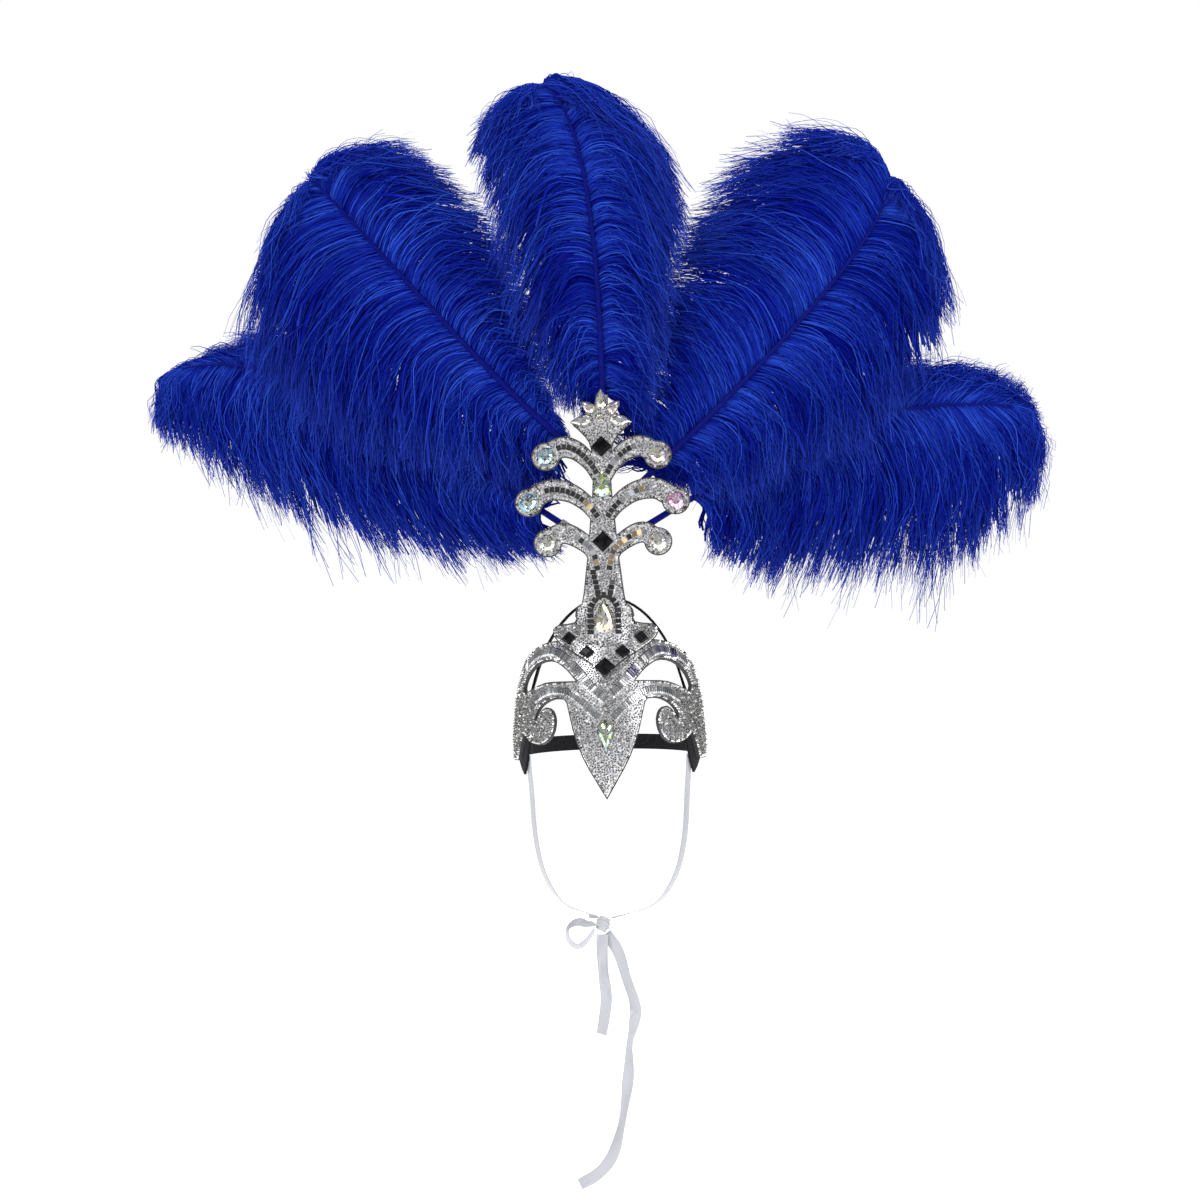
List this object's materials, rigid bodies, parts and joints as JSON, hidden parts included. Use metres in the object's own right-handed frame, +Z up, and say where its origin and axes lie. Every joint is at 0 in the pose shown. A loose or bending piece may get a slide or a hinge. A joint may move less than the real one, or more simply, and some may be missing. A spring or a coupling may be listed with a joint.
{
  "type": "showgirl feather headdress",
  "caption": "Feather headdress: rhinestone front frame bent round the forehead, jewelled tree-shaped plate, upright ostrich plumes and ribbon chin ties.",
  "frame": {"origin": "middle of the head opening, at the height of the hair line", "axes": "+Z up out of the head, front looks along -Y, +X to the right as seen from the front"},
  "size_m": [0.761, 0.2088, 0.9253],
  "materials": {
    "silver_glitter_sheet": "stiff sheet covered in glued rhinestones",
    "jet_glass": "opaque black, polished",
    "mirror_backed_crystal": "cut, mirror-backed, iridescent",
    "black_felt": "dull",
    "grey_plastic": "satin",
    "blue_quill": "dyed feather shaft, satin",
    "blue_ostrich": "dyed feather barbs, soft",
    "white_satin": "satin weave"
  },
  "bodies": {
    "root": {"back_band": "black_felt", "crown_hoop": "black_felt", "front_frame": "silver_glitter_sheet", "lotus_bud": "mirror_backed_crystal", "lotus_petal_left_lower": "mirror_backed_crystal", "lotus_petal_left_upper": "mirror_backed_crystal", "lotus_petal_right_lower": "mirror_backed_crystal", "lotus_petal_right_upper": "mirror_backed_crystal", "lotus_petal_top": "mirror_backed_crystal", "plume_centre": "blue_ostrich", "plume_left_lower": "blue_ostrich", "plume_left_upper": "blue_ostrich", "plume_right_lower": "blue_ostrich", "plume_right_upper": "blue_ostrich", "quill_centre": "blue_quill", "quill_left_lower": "blue_quill", "quill_left_upper": "blue_quill", "quill_right_lower": "blue_quill", "quill_right_upper": "blue_quill", "quill_sleeve_centre": "grey_plastic", "quill_sleeve_left_lower": "grey_plastic", "quill_sleeve_left_upper": "grey_plastic", "quill_sleeve_right_lower": "grey_plastic", "quill_sleeve_right_upper": "grey_plastic", "ribbon_bow": "white_satin", "ribbon_jaw_left": "white_satin", "ribbon_jaw_right": "white_satin", "ribbon_knot": "white_satin", "ribbon_tail_long": "white_satin", "ribbon_tail_short": "white_satin", "side_tab_left": "black_felt", "side_tab_right": "black_felt", "stone_drop_middle": "mirror_backed_crystal", "stone_drop_peak": "mirror_backed_crystal", "stone_drop_trunk": "mirror_backed_crystal", "stone_lozenge_left_inner": "jet_glass", "stone_lozenge_left_outer": "jet_glass", "stone_lozenge_peak": "jet_glass", "stone_lozenge_right_inner": "jet_glass", "stone_lozenge_right_outer": "jet_glass", "stone_lozenge_top": "jet_glass", "stone_lozenge_trunk": "jet_glass", "stone_round_left_high": "mirror_backed_crystal", "stone_round_left_low": "mirror_backed_crystal", "stone_round_left_middle": "mirror_backed_crystal", "stone_round_right_high": "mirror_backed_crystal", "stone_round_right_low": "mirror_backed_crystal", "stone_round_right_middle": "mirror_backed_crystal", "tree_plate": "silver_glitter_sheet"}
  },
  "joints": []
}
